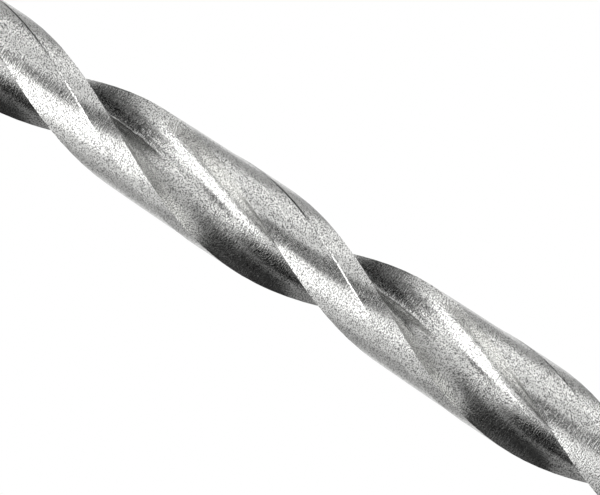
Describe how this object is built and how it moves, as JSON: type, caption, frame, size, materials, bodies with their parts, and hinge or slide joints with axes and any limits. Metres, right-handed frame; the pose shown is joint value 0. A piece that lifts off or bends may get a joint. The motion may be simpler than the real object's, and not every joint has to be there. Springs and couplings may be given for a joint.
{
  "type": "twist drill bit",
  "caption": "Right-hand twist drill bit of the jobber length, with helical flutes, a ground cone point and a plain round shank.",
  "frame": {"origin": "centre of the flat end of the shank", "axes": "+Z along the drill's axis, from the shank's end to the point"},
  "size_m": [0.008, 0.008, 0.117],
  "materials": {
    "ground_steel": "bright ground high speed steel"
  },
  "bodies": {
    "root": {"twist_drill": "ground_steel"}
  },
  "joints": []
}
